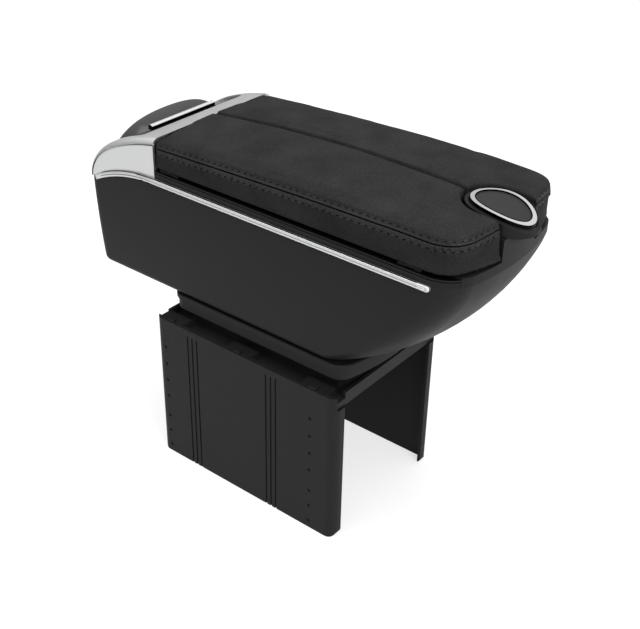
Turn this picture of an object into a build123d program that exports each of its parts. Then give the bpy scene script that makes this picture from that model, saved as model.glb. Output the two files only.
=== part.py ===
"""Car centre armrest: a two-door padded box on a saddle bracket, in millimetres.

X runs to the front of the car, Y to the left and Z up from the bracket's lower edges.
"""

import math
import os

from build123d import *

os.makedirs("parts", exist_ok=True)

# Fits and clearances
run_fit = 0.05
move_gap = 0.5
seam_gap = 0.3
least_r = 1.0

# Reach of a cut that runs right through the object
far = 500.0

# Saddle bracket
saddle_rear = -116.0
saddle_length = 189.5
saddle_half_w = 69.0
saddle_top = 136.5
panel_t = 4.0
panel_return = 12.0
panel_return_t = 3.0
panel_corner_r = 8.0
panel_foot_r = 4.0
plate_t = 5.0
plate_sink = 5.0
plate_lip = 11.0
plate_lip_t = 3.0
plate_setback = 1.5
saddle_front = saddle_rear + saddle_length
plate_top = saddle_top - plate_sink
plate_low = plate_top - plate_t

# Grooves, drill marks and hooks of the side panels
groove_w = 1.6
groove_depth = 0.8
groove_pitch = 5.0
groove_count = 3
groove_sets = [-79.0, 5.0]
groove_start = 6.0
mark_r = 1.5
mark_depth = 0.8
mark_from_rear = 11.0
mark_from_front = 24.0
mark_drops = [27.0, 43.7, 60.4, 77.0, 98.0, 113.6, 129.2]
hook_xs = [-99.0, -26.5, 50.0]
hook_w = 26.0
hook_reach = 14.0
nub_l = 7.0
nub_w = 4.0
nub_h = 2.0
nub_in = 1.0

# Riser between bracket and box
riser_setback = 10.0
riser_overhang = 6.5
riser_side = 9.0
riser_nose_r = 190.0
riser_corner_r = 14.0
riser_h = 14.0
riser_lip = 1.5
riser_lip_h = 4.0
riser_edge = 0.8
foot_h = 14.5
foot_inset = 13.0
foot_corner_r = 4.0
neck_h = 2.0
neck_inset = 10.0
riser_rear = saddle_rear + riser_setback
riser_nose = saddle_front + riser_overhang
riser_half_w = saddle_half_w - riser_side
riser_low = plate_top + foot_h
riser_high = riser_low + riser_h

# Box moulding
box_rear = -184.0
box_h = 100.0
box_half_w = 68.0
box_tuck = 6.0
box_wall = 3.0
box_floor_t = 4.0
box_rear_r = 9.0
box_edge_r = 7.0
nose_x = 174.0
nose_rise = 18.0
nose_rake = 86.0
nose_power = 2.0
nose_r_over = 4.0
nose_r_top = 218.0
corner_r_low = 32.0
corner_r_top = 26.0
loft_steps = [0.0, 0.2, 0.45, 0.7, 1.0]
tail_l = 74.0
tail_r = 140.0
box_low = riser_high + neck_h
box_top = box_low + box_h
box_floor = box_low + box_floor_t
nose_z = box_top + nose_rise
nose_r_low = box_half_w + nose_r_over
tail_x = box_rear + tail_l

# Screws
screw_r = 2.0
screw_head_r = 3.8
screw_head_h = 2.4
screw_bite = 13.0
bracket_screw_at = [(-80.0, 38.0), (-80.0, -38.0), (48.0, 38.0), (48.0, -38.0)]
box_screw_at = [(-60.0, 24.0), (-60.0, -24.0), (36.0, 24.0), (36.0, -24.0)]

# Chrome side strips
strip_h = 4.5
strip_proud = 2.2
strip_seat = 1.0
strip_setback = 28.0
strip_edge_r = 1.3
strip_groove_w = 0.9
strip_groove_depth = 0.5
strip_groove_end = 5.0
strip_hole_r = 0.9
strip_hole_depth = 1.0
strip_front = nose_x - strip_setback

# Bay at the rear, behind the bulkhead
bay_l = 77.0
bulkhead_t = 3.0
bay_x = box_rear + bay_l

# Rim under the doors
rim_h = 6.2
rim_w = 10.0
coaming_t = 2.0
coaming_h = 7.6
rim_groove_h = 0.8
rim_groove_z = 4.2
rim_groove_depth = 0.8
rim_skirt = 6.0
rim_skirt_t = 2.0
rim_skirt_gap = 2.5
rim_top = box_top + rim_h
coaming_top = box_top + coaming_h

# Release button
button_setback = 18.0
button_rx = 24.5
button_ry = 18.5
bezel_wall = 3.0
ring_w = 4.2
button_h = 29.8
button_arc_r = 80.0
button_arc_back = 13.5
button_travel = 3.0
button_stop_gap = 0.8
bezel_sink = 1.6
ring_sink = 1.4
ring_proud = 0.7
stem_r = 4.0
stem_flange_r = 6.0
stem_flange_t = 2.0
spring_r = 4.0
spring_wire = 0.6
spring_turns = 4
spring_sides = 6
button_x = nose_x - button_setback
button_arc_x = button_x - button_arc_back

# Front lip and button post
lip_end = 10.5
lip_in = 24.0
lip_h = 7.0
lip_w = 14.0
post_ledge = 0.1
post_h = 23.3
post_wall = 2.5
post_floor_h = 4.0
post_setback = 1.0
post_lean = 2.0
lip_half_w = box_half_w - lip_end
lip_x = nose_x - lip_in
lip_top = box_top + lip_h
post_half_w = button_ry + bezel_wall + post_ledge
post_top = box_top + post_h
post_floor = box_top + post_floor_h
post_front_low = nose_x - post_setback
post_front_top = post_front_low - post_lean
notch_x = button_x - (button_rx - button_ry)

# Padded doors
door_gap = 0.5
lid_gap = 0.4
lid_side = 1.0
lid_h = 35.0
lid_past = 12.0
lid_seam = 0.75
lid_setback = 0.7
lid_rake = 5.0
lid_nose_r_low = 144.0
lid_nose_r_top = 600.0
lid_corner_low = 20.0
lid_corner_top = 26.0
notch_gap = 0.9
crown_past = 8.0
crown_rear = (19.9, 25.5)
crown_middle = [(-10.0, 22.2, 31.0), (100.0, 25.2, 31.5)]
crown_front = (25.0, 29.5)
crown_over = 8.0
pad_edge_r = 3.0
lid_base_t = 3.5
lid_base_drop = 1.0
lid_hem = 5.0
lid_rear = bay_x + door_gap
lid_half_w = box_half_w - lid_side
lid_base_low = coaming_top + lid_gap
lid_low = lid_base_low + lid_base_drop
lid_crest = lid_low + lid_h
lid_nose_low = nose_x - lid_setback
notch_half_w = post_half_w + notch_gap
crown_half_w = lid_half_w + crown_over
button_high = lid_low + button_h
button_low = post_top + button_travel + button_stop_gap
flange_low = post_top - post_wall - move_gap - stem_flange_t

# Door hinges
hinge_in = 2.0
hinge_rise = 1.5
hinge_pin_r = 0.5
hinge_barrel_r = 1.0
hinge_xs = [-92.0, 128.0]
knuckle_l = 6.0
knuckle_gap = 0.4
web_half = 0.8
web_drop = 0.6
web_bite = 1.7
hinge_y = box_half_w - hinge_in
hinge_z = rim_top + hinge_rise

# Rear hood and the cover of the ashtray
hood_axis_x = -60.0
hood_axis_drop = 19.0
hood_rz = 55.0
hood_wall = 2.5
hood_skirt = 20.0
hood_edge_r = 6.0
hood_groove_in = 3.5
hood_groove_w = 1.8
hood_groove_depth = 1.6
cover_side = 9.5
cover_setback = 21.0
cover_corner_r = 6.0
cover_sink = 2.0
cover_t = 2.5
cover_rise = 5.0
hump_line = [
    (44.5, 17.0),
    (37.0, 24.2),
    (32.0, 26.0),
    (27.0, 26.6),
    (21.0, 24.2),
    (15.0, 19.0),
    (10.0, 11.5),
    (6.0, 0.0),
    (5.0, -5.0),
]
hump_h = 16.0
hump_side = 8.5
hump_steps = [-0.98, -0.75, 0.0, 0.75, 0.98]
hump_low = 12.0
hump_lift = 6.0
hump_room = (12.0, 36.0)
rear_rim_h = 1.6
cover_pin_in = 6.5
cover_pin_rise = 7.0
cover_pin_r = 1.2
cover_barrel_r = 2.6
cover_barrel_l = 10.0
cover_barrel_in = 9.5
cover_ear_t = 3.5
cover_ear_gap = 1.0
cover_ear_in = 1.0
handle_in = 41.5
handle_rise = 24.6
handle_half_l = 36.0
handle_w = 4.4
handle_h = 4.0
handle_edge_r = 1.6
finger_slot_w = 5.0
finger_slot_depth = 1.7
finger_slot_under = 1.5
finger_slot_end = 2.0
hood_rx = hood_axis_x - box_rear
hood_axis_z = box_top - hood_axis_drop
cover_half_w = box_half_w - cover_side
cover_front = bay_x - cover_setback
cover_low = hood_axis_z + cover_rise
hump_half_w = cover_half_w - hump_side
rear_rim_top = hood_axis_z + rear_rim_h
cover_pin_x = box_rear + cover_pin_in
cover_pin_z = hood_axis_z + cover_pin_rise
cover_barrel_y = cover_half_w - cover_barrel_in
handle_x = box_rear + handle_in

# Ashtray cup and the ribs that carry it
cup_gap_rear = 8.0
cup_gap_front = 7.0
cup_side = 17.0
cup_lift = 40.0
cup_h = 38.0
cup_wall = 2.0
cup_corner_r = 8.0
rib_t = 3.0
rib_ys = [-30.0, 30.0]
cup_half_w = box_half_w - cup_side
cup_low = box_low + cup_lift


def span(x, y, z):
    """A box between two limits on each axis."""
    lows = [x[0], y[0], z[0]]
    highs = [x[1], y[1], z[1]]
    sizes = [high - low for low, high in zip(lows, highs)]
    return Pos(*lows) * Box(*sizes, align=Align.MIN)


def about(middle, size):
    """The two limits of a size centred on a point."""
    return (middle - size / 2, middle + size / 2)


def rod(x, y, z, radius, length):
    """An upright cylinder that starts at a height and runs up."""
    return Pos(x, y, z) * Cylinder(radius, length, align=(Align.CENTER, Align.CENTER, Align.MIN))


def rod_x(x, y, z, radius, length):
    """A cylinder along X, centred on a point."""
    return Pos(x, y, z) * Rot(0, 90, 0) * Cylinder(radius, length)


def rod_y(x, y, z, radius, length):
    """A cylinder along Y, centred on a point."""
    return Pos(x, y, z) * Rot(90, 0, 0) * Cylinder(radius, length)


def slab(x, half_w, z, corner_r):
    """A flat block with rounded upright corners."""
    length = x[1] - x[0]
    outline = RectangleRounded(length, 2 * half_w, corner_r)
    return Pos(x[0] + length / 2, 0, z[0]) * extrude(outline, z[1] - z[0])


def across(edges, half_w):
    """A side profile in X and Z, carried across to both sides."""
    return extrude(Plane.XZ * make_face(edges), half_w, both=True)


def left_of(solid):
    """The mirror image on the left side."""
    return mirror(solid, Plane.XZ)


def prow(nose, half_w, nose_r, corner_r, rear, rear_r):
    """A plan outline with straight sides, a bowed front and rounded corners."""
    nose_c = nose - nose_r
    corner_y = half_w - corner_r
    corner_x = nose_c + math.sqrt((nose_r - corner_r) ** 2 - corner_y**2)
    sweep = math.degrees(math.atan2(corner_y, corner_x - nose_c))
    rear_x = rear + rear_r
    rear_y = half_w - rear_r
    return make_face(
        [
            CenterArc((nose_c, 0), nose_r, -sweep, 2 * sweep),
            CenterArc((corner_x, corner_y), corner_r, sweep, 90 - sweep),
            Line((corner_x, half_w), (rear_x, half_w)),
            CenterArc((rear_x, rear_y), rear_r, 90, 90),
            Line((rear, rear_y), (rear, -rear_y)),
            CenterArc((rear_x, -rear_y), rear_r, 180, 90),
            Line((rear_x, -half_w), (corner_x, -half_w)),
            CenterArc((corner_x, -corner_y), corner_r, 270, 90 - sweep),
        ]
    )


def box_outline(z, inset=0.0):
    """The plan outline of the box at a height, drawn in by an inset."""
    t = (z - box_low) / box_h
    nose = nose_x - nose_rake * ((nose_z - z) / (nose_z - box_low)) ** nose_power
    half_w = box_half_w - box_tuck * (1 - t) ** 2
    nose_r = nose_r_low + (nose_r_top - nose_r_low) * t
    corner_r = corner_r_low + (corner_r_top - corner_r_low) * t
    rear_r = max(box_rear_r - inset, least_r)
    corner_r = max(corner_r - inset, least_r)
    outline = prow(nose - inset, half_w - inset, nose_r - inset, corner_r, box_rear + inset, rear_r)
    return Pos(0, 0, z) * outline


def rim_band(outer, inner, z):
    """A band that follows the box's top outline between two insets."""
    outline = box_outline(box_top, outer) - box_outline(box_top, inner)
    return Pos(0, 0, z[0] - box_top) * extrude(outline, z[1] - z[0])


def screws(points, head_z, head_up):
    """Pan-head screws, driven down or up from the face at head_z."""
    way = 1 if head_up else -1
    made = []
    for x, y in points:
        head = Pos(x, y, head_z + way * screw_head_h / 2) * Cylinder(screw_head_r, screw_head_h)
        shank_l = screw_bite + (box_floor_t if head_up else plate_t)
        shank = Pos(x, y, head_z - way * shank_l / 2) * Cylinder(screw_r, shank_l)
        made.append(head + shank)
    return made


# Screws first, because they also bore the plates they pass through
bracket_screws = screws(bracket_screw_at, plate_low, False)
box_screws = screws(box_screw_at, box_floor, True)


# Saddle bracket: two panels that hook over a top plate
def bracket_panel():
    """The right side panel with its returns, hooks, grooves and drill marks."""
    length = (saddle_rear, saddle_front)
    height = (0, saddle_top)
    skin_y = -saddle_half_w
    back_y = skin_y + panel_t
    reach_y = skin_y + panel_return
    outer = slab(length, saddle_half_w, height, panel_corner_r)
    inner = slab(
        (saddle_rear + panel_return_t, saddle_front - panel_return_t),
        saddle_half_w - panel_t,
        height,
        panel_corner_r - panel_t,
    )
    shell = (outer - inner) & span(length, (skin_y, reach_y), height)
    shell -= span(length, (back_y, reach_y), (saddle_top - plate_lip - move_gap, saddle_top))
    profile = RectangleRounded(saddle_length, 2 * saddle_top, panel_foot_r)
    foot = Plane.XZ * Pos(saddle_rear + saddle_length / 2, saddle_top) * profile
    shell &= extrude(foot, saddle_half_w, both=True)
    hook_y = (back_y, skin_y + hook_reach)
    nub_y = (skin_y + nub_in, skin_y + nub_in + nub_w)
    for x in hook_xs:
        shell += span(about(x, hook_w), hook_y, (plate_top, saddle_top))
        shell += span(about(x, nub_l), nub_y, (saddle_top, saddle_top + nub_h))
    groove_y = (skin_y, skin_y + groove_depth)
    for start in groove_sets:
        for k in range(groove_count):
            x = start + k * groove_pitch
            shell -= span(about(x, groove_w), groove_y, (0, saddle_top - groove_start))
    for x in (saddle_rear + mark_from_rear, saddle_front - mark_from_front):
        for drop in mark_drops:
            shell -= rod_y(x, skin_y, saddle_top - drop, mark_r, 2 * mark_depth)
    return shell


def bracket_top():
    """The sunk top plate with an end lip at the front and the rear."""
    half_w = saddle_half_w - panel_t
    x_span = (saddle_rear + plate_setback, saddle_front - plate_setback)
    plate = span(x_span, (-half_w, half_w), (plate_low, plate_top))
    lip_w = saddle_half_w - hook_reach
    for x in (x_span[0], x_span[1] - plate_lip_t):
        plate += span((x, x + plate_lip_t), (-lip_w, lip_w), (saddle_top - plate_lip, saddle_top))
    return plate - bracket_screws


def riser_plan(inset, corner_r, z):
    """A slice of the riser between two heights, drawn in by an inset."""
    nose = riser_nose - inset
    half_w = riser_half_w - inset
    outline = prow(nose, half_w, riser_nose_r - inset, corner_r, riser_rear + inset, corner_r)
    return Pos(0, 0, z[0]) * extrude(outline, z[1] - z[0])


def riser():
    """The rounded slab with a lipped top, a recessed foot and a neck."""
    lip_low = riser_high - riser_lip_h
    lipped = riser_plan(0, riser_corner_r, (lip_low, riser_high))
    plain = riser_plan(riser_lip, riser_corner_r - riser_lip, (riser_low, lip_low))
    lipped = chamfer(lipped.edges().group_by(Axis.Z)[-1], riser_edge)
    plain = chamfer(plain.edges().group_by(Axis.Z)[0], riser_edge)
    foot = riser_plan(foot_inset, foot_corner_r, (plate_top, riser_low))
    neck = riser_plan(neck_inset, foot_corner_r, (riser_high, box_low))
    return lipped + plain + foot + neck - bracket_screws - box_screws


# Box: a lofted boat shape, hollow, with a bulkhead before the rear compartment
tail_cut = span((-far, tail_x), (-far, far), (box_top - tail_r, far))
tail_cut -= rod_y(tail_x, 0, box_top - tail_r, tail_r, 2 * far)


def strip_band(width, front):
    """Side view of a band along the strip's middle: straight, then curved down at the tail."""
    middle = box_top - strip_h / 2
    end_x = front - width / 2
    low, high = about(middle, width)
    edges = [
        Line((tail_x, high), (end_x, high)),
        CenterArc((end_x, middle), width / 2, 90, -180),
        Line((end_x, low), (tail_x, low)),
        Line((tail_x, low), (tail_x, high)),
    ]
    inner_r, outer_r = about(tail_r - strip_h / 2, width)
    sweep = math.degrees(math.asin((tail_x - box_rear - box_rear_r) / tail_r))
    rise = 2 * tail_r
    run = rise * math.tan(math.radians(sweep))
    wedge = make_face(Polyline((0, 0), (0, rise), (-run, rise), close=True))
    tail = (Circle(outer_r) - Circle(inner_r)) & wedge
    return make_face(edges) + Pos(tail_x, box_top - tail_r) * tail


def side_strip():
    """The right chrome strip, with a groove along it and a blind hole at its front end."""
    face_y = -(box_half_w + strip_proud)
    seat_y = -(box_half_w - strip_seat)
    band = Plane.XZ * strip_band(strip_h, strip_front)
    strip = Pos(0, seat_y, 0) * extrude(band, strip_proud + strip_seat)
    strip = fillet(strip.faces().sort_by(Axis.Y)[0].edges(), strip_edge_r)
    groove = Plane.XZ * strip_band(strip_groove_w, strip_front - strip_groove_end)
    strip -= Pos(0, face_y + strip_groove_depth, 0) * extrude(groove, strip_groove_depth)
    hole_x = strip_front - strip_h / 2
    return strip - rod_y(hole_x, face_y, box_top - strip_h / 2, strip_hole_r, 2 * strip_hole_depth)


strip_right = side_strip()
strip_left = left_of(strip_right)


def box_body():
    """The box moulding with its bulkhead, cup ribs and screw holes."""
    levels = [box_low + t * (box_top - box_low) for t in loft_steps]
    shell = loft([box_outline(z) for z in levels])
    shell = fillet(shell.faces().sort_by(Axis.Z)[0].edges(), box_edge_r)
    levels[0] = box_floor
    hollow = loft([box_outline(z, box_wall) for z in levels])
    hollow -= span((bay_x, bay_x + bulkhead_t), (-far, far), (box_low, box_top))
    for y in rib_ys:
        hollow -= span((box_rear, bay_x), about(y, rib_t), (box_low, cup_low))
    return shell - hollow - tail_cut - box_screws - strip_right - strip_left


# Rim under the doors, with the hinge knuckles
def hinge_places():
    """Start of each knuckle of a door hinge: outer, middle, outer."""
    step = knuckle_l + knuckle_gap
    return [[x + (k - 1) * step for k in range(3)] for x in hinge_xs]


def knuckle(x, web_y, web_z):
    """One hinge barrel with the web that carries it, on the right side."""
    barrel = rod_x(x, -hinge_y, hinge_z, hinge_barrel_r, knuckle_l)
    return barrel + span(about(x, knuckle_l), web_y, web_z)


def hinge_bore(x, radius):
    """The bore or the pin of one door hinge."""
    return rod_x(x, -hinge_y, hinge_z, radius, 3 * knuckle_l + 2 * knuckle_gap)


pins_right = [hinge_bore(x, hinge_pin_r) for x in hinge_xs]
bores_right = [hinge_bore(x, hinge_pin_r + run_fit) for x in hinge_xs]


def top_frame():
    """Side rails with a coaming, a locating skirt and the fixed hinge knuckles."""
    rails = rim_band(0, rim_w, (box_top, rim_top))
    groove_low = box_top + rim_groove_z
    rails -= rim_band(0, rim_groove_depth, (groove_low, groove_low + rim_groove_h))
    rails += rim_band(rim_w - coaming_t, rim_w, (box_top, coaming_top))
    skirt_in = box_wall + rim_skirt_gap
    rails += rim_band(skirt_in, skirt_in + rim_skirt_t, (box_top - rim_skirt, box_top))
    rails &= span((bay_x, far), (-far, far), (box_low, coaming_top))
    bar_half = box_half_w - rim_w
    rails += span((bay_x, bay_x + rim_w), (-bar_half, bar_half), (box_top, rim_top))
    rails -= span((bay_x, bay_x + bulkhead_t), (-far, far), (box_low, box_top))
    rails -= span((lip_x, far), (-lip_half_w, lip_half_w), (box_low, coaming_top))
    right = Part()
    for row in hinge_places():
        for x in row[::2]:
            right += knuckle(x, about(-hinge_y, 2 * web_half), (rim_top, hinge_z))
    right -= bores_right
    return rails + right + left_of(right)


# Front lip with the post that carries the button
def post_plan(half_w, front):
    """Plan of the button post: a round rear end and a straight front."""
    block = Pos((notch_x + front) / 2, 0) * Rectangle(front - notch_x, 2 * half_w)
    return block + Pos(notch_x, 0) * Circle(half_w)


def front_panel():
    """The front lip and the hollow button post with a raked front."""
    half_w = lip_half_w - seam_gap
    height = (box_top, lip_top)
    lip = rim_band(0, lip_w, height) & span((lip_x + seam_gap, far), (-half_w, half_w), height)
    post = Pos(0, 0, box_top) * extrude(post_plan(post_half_w, post_front_low), post_h)
    post &= extrude(box_outline(box_top), post_h)
    low = (post_front_low, lip_top)
    lean = Polyline(low, (far, lip_top), (far, post_top), (post_front_top, post_top), close=True)
    post -= across(lean, far)
    room_h = post_top - post_wall - post_floor
    room = extrude(post_plan(post_half_w - post_wall, post_front_top - 2 * post_wall), room_h)
    bore = rod(button_x, 0, post_floor, stem_r + move_gap, post_top)
    return lip + post - Pos(0, 0, post_floor) * room - bore


# Release button: its crown is level at the rear and bends down to the front
def button_crown(offset):
    """Everything below the button's crown, raised or lowered by an offset."""
    high = button_high + offset
    radius = button_arc_r + offset
    level = span((0, button_arc_x), (-far, far), (post_top, high))
    bend = rod_y(button_arc_x, 0, high - radius, radius, 2 * far)
    return level + (bend & span((button_arc_x, far), (-far, far), (post_top, high)))


def oval(extra, z):
    """An upright oval column on the button's centre."""
    outline = Ellipse(button_rx + extra, button_ry + extra)
    return Pos(button_x, 0, z[0]) * extrude(outline, z[1] - z[0])


def button_bezel():
    """The black surround that stands on the post."""
    tall = (post_top, button_high)
    return (oval(bezel_wall, tall) - oval(move_gap, tall)) & button_crown(-bezel_sink)


def button_ring():
    """The chrome ring round the button's plate."""
    tall = (button_low, button_high + ring_proud)
    ring = (oval(0, tall) - oval(-ring_w, tall)) & button_crown(ring_proud)
    return ring - button_crown(-ring_sink)


def button_cap():
    """The grey plate with its skirt, stem and spring flange."""
    tall = (button_low, button_high)
    cap = (oval(0, tall) & button_crown(-ring_sink)) + (oval(-ring_w, tall) & button_crown(0))
    cap += rod(button_x, 0, flange_low, stem_r, button_low - flange_low)
    return cap + rod(button_x, 0, flange_low, stem_flange_r, stem_flange_t)


def button_spring():
    """The return spring between the post's floor and the stem's flange."""
    height = flange_low - post_floor - 2 * spring_wire
    path = Helix(height / spring_turns, height, spring_r)
    section = Plane(origin=path @ 0, z_dir=path % 0) * RegularPolygon(spring_wire, spring_sides)
    return Pos(button_x, 0, post_floor + spring_wire) * sweep(section, path, is_frenet=True)


# Padded doors
def lid_outline(z, inset=0.0):
    """Plan of both doors together at a height, drawn in by an inset."""
    t = (z - lid_low) / lid_h
    nose = lid_nose_low - lid_rake * t
    nose_r = lid_nose_r_low + (lid_nose_r_top - lid_nose_r_low) * t
    corner_r = lid_corner_low + (lid_corner_top - lid_corner_low) * t
    half_w = lid_half_w - inset
    outline = prow(nose - inset, half_w, nose_r - inset, corner_r - inset, lid_rear - lid_past, least_r)
    return Pos(0, 0, z) * outline


def ahead_of_hood(inset):
    """Room in front of the hood, which cuts the doors' rear ends square."""
    return span((lid_rear + inset, far), (-far, far), (lid_base_low, lid_crest))


def right_half(inset, z):
    """Room for the right door: one side of the seam, less the button's notch."""
    side = span((-far, far), (-far, -lid_seam - inset), z)
    notch = extrude(post_plan(notch_half_w + inset, far), z[1] - z[0])
    return side - Pos(0, 0, z[0]) * notch


def lid_base():
    """The right door's plate with its hinge knuckles."""
    plate = Pos(0, 0, -lid_base_drop) * extrude(lid_outline(lid_low, lid_hem), lid_base_t)
    plate &= right_half(lid_hem, (lid_base_low, lid_base_low + lid_base_t)) & ahead_of_hood(lid_hem)
    web_y = (-hinge_y, -lid_half_w + lid_hem + web_bite)
    for row in hinge_places():
        plate += knuckle(row[1], web_y, (lid_base_low - web_drop, lid_low))
    return plate - bores_right


def lid_pad(base):
    """The right door's cushion: a crowned block with rounded edges round its plate."""
    block = loft([lid_outline(lid_low), lid_outline(lid_crest)], ruled=True)
    sections = []
    low = lid_low - lid_base_t
    stations = [(lid_rear - crown_past, *crown_rear), *crown_middle, (nose_x + crown_past, *crown_front)]
    for x, edge_h, seam_h in stations:
        right = (-crown_half_w, lid_low + edge_h)
        left = (crown_half_w, lid_low + edge_h)
        sides = Polyline(left, (crown_half_w, low), (-crown_half_w, low), right)
        face = make_face([sides, ThreePointArc(right, (0, lid_low + seam_h), left)])
        sections.append(Plane.YZ.offset(x) * face)
    cushion = block & loft(sections) & right_half(0, (lid_low, lid_crest))
    top = cushion.faces().sort_by(Axis.Z)[-1]
    cushion = fillet(top.edges(), pad_edge_r)
    return (cushion & ahead_of_hood(0)) - base


# Rear hood with the ashtray's cover
def hood_profile(offset):
    """Side profile of the hood, swelled or shrunk by an offset."""
    rx = hood_rx + offset
    rz = hood_rz + offset
    rear = hood_axis_x - rx
    base_z = hood_axis_z - hood_skirt
    return [
        EllipticalCenterArc((hood_axis_x, hood_axis_z), rx, rz, start_angle=90, arc_size=90),
        Line((rear, hood_axis_z), (rear, base_z)),
        Line((rear, base_z), (hood_axis_x, base_z)),
        Line((hood_axis_x, base_z), (hood_axis_x, hood_axis_z + rz)),
    ]


def cover_room(gap, z):
    """Plan of the cover, open to the rear and rounded at its front corners."""
    return slab((box_rear - cover_half_w, cover_front + gap), cover_half_w + gap, z, cover_corner_r)


def rear_hood():
    """The chrome hood, open at the rear for the cover, with the pin's ears."""
    hood = across(hood_profile(0), box_half_w)
    hood = fillet(hood.edges().filter_by(GeomType.ELLIPSE), hood_edge_r)
    length = (box_rear, bay_x)
    hood &= span(length, (-far, far), (0, far))
    room = across(hood_profile(-hood_wall), box_half_w - hood_wall)
    hood -= room & span((box_rear, bay_x - hood_wall), (-far, far), (0, far))
    groove = across(hood_profile(-hood_groove_in), box_half_w)
    groove -= across(hood_profile(-hood_groove_in - hood_groove_w), box_half_w)
    groove &= span(length, (-far, far), (hood_axis_z, far))
    uncut = box_half_w - hood_groove_depth
    hood -= groove - span(length, (-uncut, uncut), (0, far))
    ear_x = (box_rear + cover_ear_in, cover_pin_x + cover_barrel_r)
    ear_y = cover_half_w + cover_ear_gap
    for y in (ear_y, -ear_y - cover_ear_t):
        hood += span(ear_x, (y, y + cover_ear_t), about(cover_pin_z, 2 * cover_barrel_r))
    hood = hood - cover_room(move_gap, (rear_rim_top, far)) - cover_pin(0)
    return hood & (tail_cut + span((tail_x, bay_x), (-far, far), (box_top, far)))


def cover_pin(extra):
    """The cover's hinge pin, or its bore."""
    length = 2 * (cover_half_w + cover_ear_gap + cover_ear_t)
    return rod_y(cover_pin_x, 0, cover_pin_z, cover_pin_r + extra, length)


def cover_hump(drop):
    """The hump of the cover: one side line, carried across under an oval arch."""
    sections = []
    for step in hump_steps:
        sink = drop + hump_h * (1 - math.sqrt(1 - step**2))
        line = [(box_rear + x, box_top + z - sink) for x, z in hump_line]
        low = line[-1][1] - hump_low
        corners = Polyline(line[-1], (line[-1][0], low), (line[0][0], low), line[0])
        sections.append(Plane.XZ.offset(-step * hump_half_w) * make_face([Spline(*line), corners]))
    return loft(sections) & span((-far, far), (-far, far), (cover_low + hump_lift, far))


def handle():
    """The chrome bar that the cover is pulled by."""
    bar = Box(handle_w, 2 * handle_half_l, handle_h)
    bar = fillet(bar.edges().filter_by(Axis.Y).group_by(Axis.Z)[-1], handle_edge_r)
    return Pos(handle_x, 0, box_top + handle_rise - handle_h / 2) * bar


def ashtray_cover(bar):
    """The dark cover: a low skin, a hollow hump, a finger slot and hinge barrels."""
    plan = cover_room(0, (cover_low, far))
    under = across(hood_profile(-cover_sink - cover_t), far)
    skin = across(hood_profile(-cover_sink), far) & plan
    room_x = (box_rear + hump_room[0], box_rear + hump_room[1])
    room = cover_hump(cover_t) & span(room_x, (-far, far), (0, far))
    cover = skin + cover_hump(0) - under - room
    for y in (-cover_barrel_y, cover_barrel_y):
        cover += rod_y(cover_pin_x, y, cover_pin_z, cover_barrel_r, cover_barrel_l)
    cover -= cover_pin(run_fit)
    slot = bar.bounding_box().max.X - finger_slot_under
    slot_half = handle_half_l - finger_slot_end
    slot_z = (bar.center().Z - finger_slot_depth, far)
    cover -= span((slot, slot + finger_slot_w), (-slot_half, slot_half), slot_z)
    return cover - bar


def ashtray_cup():
    """The lift-out cup that rests on the ribs."""
    rear = box_rear + cup_gap_rear
    front = bay_x - cup_gap_front
    outer = slab((rear, front), cup_half_w, (cup_low, cup_low + cup_h), cup_corner_r)
    inner = slab(
        (rear + cup_wall, front - cup_wall),
        cup_half_w - cup_wall,
        (cup_low + cup_wall, cup_low + cup_h),
        cup_corner_r - cup_wall,
    )
    return outer - inner


def save(node, shape):
    """Write one node as a STEP file."""
    pieces = shape if isinstance(shape, list) else [shape]
    solids = [solid for piece in pieces for solid in piece.solids()]
    export_step(Compound(solids), f"parts/{node}.step")


panel_right = bracket_panel()
base_right = lid_base()
pad_right = lid_pad(base_right)
cover_bar = handle()

nodes = {
    "bracket_panel_right": panel_right,
    "bracket_panel_left": left_of(panel_right),
    "bracket_top_plate": bracket_top(),
    "riser_plate": riser(),
    "bracket_screws": bracket_screws,
    "box_body": box_body(),
    "box_screws": box_screws,
    "top_frame": top_frame(),
    "front_panel": front_panel(),
    "button_bezel": button_bezel(),
    "button_ring": button_ring(),
    "button_cap": button_cap(),
    "button_spring": button_spring(),
    "chrome_strip_right": strip_right,
    "chrome_strip_left": strip_left,
    "rear_cap": rear_hood(),
    "ashtray_lid": ashtray_cover(cover_bar),
    "ashtray_handle": cover_bar,
    "ashtray_hinge_pin": cover_pin(0),
    "ashtray_cup": ashtray_cup(),
    "lid_right_base": base_right,
    "lid_left_base": left_of(base_right),
    "lid_right_pad": pad_right,
    "lid_left_pad": left_of(pad_right),
    "lid_right_hinge_pins": pins_right,
    "lid_left_hinge_pins": [left_of(pin) for pin in pins_right],
}
for node, shape in nodes.items():
    save(node, shape)
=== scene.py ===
"""Looks of the car centre armrest box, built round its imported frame, in metres."""

import logging
import math
from abc import ABC, abstractmethod
from dataclasses import dataclass
from enum import Enum

import bmesh
import bpy
import numpy as np
from mathutils import Matrix, Vector, noise
from mathutils.bvhtree import BVHTree
from mathutils.kdtree import KDTree


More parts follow.
